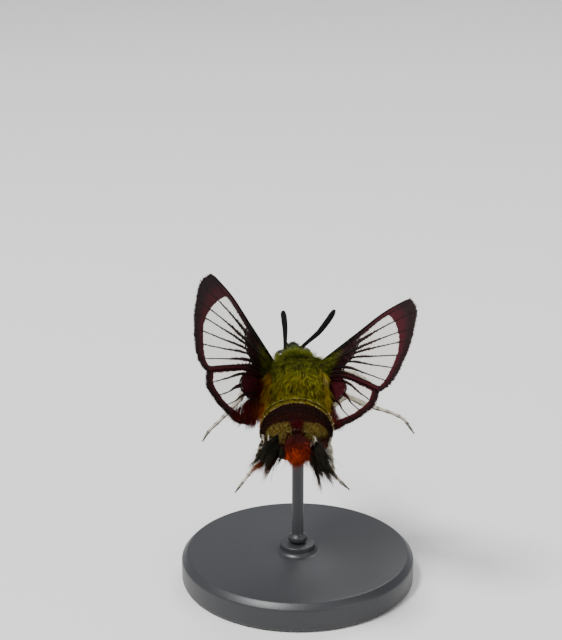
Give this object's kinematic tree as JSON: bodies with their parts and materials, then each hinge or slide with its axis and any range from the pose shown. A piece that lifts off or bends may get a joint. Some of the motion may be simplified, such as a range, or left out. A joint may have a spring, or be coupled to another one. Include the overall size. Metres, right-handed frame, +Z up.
{
  "type": "hummingbird clearwing moth",
  "caption": "Life-size clear-winged hawkmoth with an olive furry thorax, banded abdomen and tail brush, hovering with wings raised on a round display stand.",
  "frame": {"origin": "middle of the underside of the stand's base, on the table", "axes": "+Z up, +Y the way the head points, +X the moth's right side"},
  "size_m": [0.032, 0.0506, 0.0464],
  "materials": {
    "olive_fur": "dense olive-green fur",
    "abdomen_bands": "flat scales in olive, burgundy and black bands",
    "rust_fur": "rust-orange tail fur",
    "black_fur": "black tail fur",
    "eye": "dark glossy compound eye",
    "horn": "black horn-like antennae",
    "pale_scales": "pale cream scales, dark below",
    "tongue": "dark brown horn",
    "wing": "clear membrane with black veins and a dark burgundy border",
    "stand_paint": "satin dark paint on steel"
  },
  "bodies": {
    "root": {"head": "olive_fur", "thorax": "olive_fur", "abdomen": "abdomen_bands", "eye_right": "eye", "eye_left": "eye", "antenna_right": "horn", "antenna_left": "horn", "palp_right": "pale_scales", "palp_left": "pale_scales", "proboscis": "tongue", "tail_brush": "rust_fur", "tail_tuft_right": "black_fur", "tail_tuft_left": "black_fur", "foreleg_right": "pale_scales", "foreleg_left": "pale_scales", "midleg_right": "pale_scales", "midleg_left": "pale_scales", "hindleg_right": "pale_scales", "hindleg_left": "pale_scales", "forewing_right": "wing", "forewing_left": "wing", "hindwing_right": "wing", "hindwing_left": "wing", "stand_base": "stand_paint", "stand_rod": "stand_paint"}
  },
  "joints": []
}
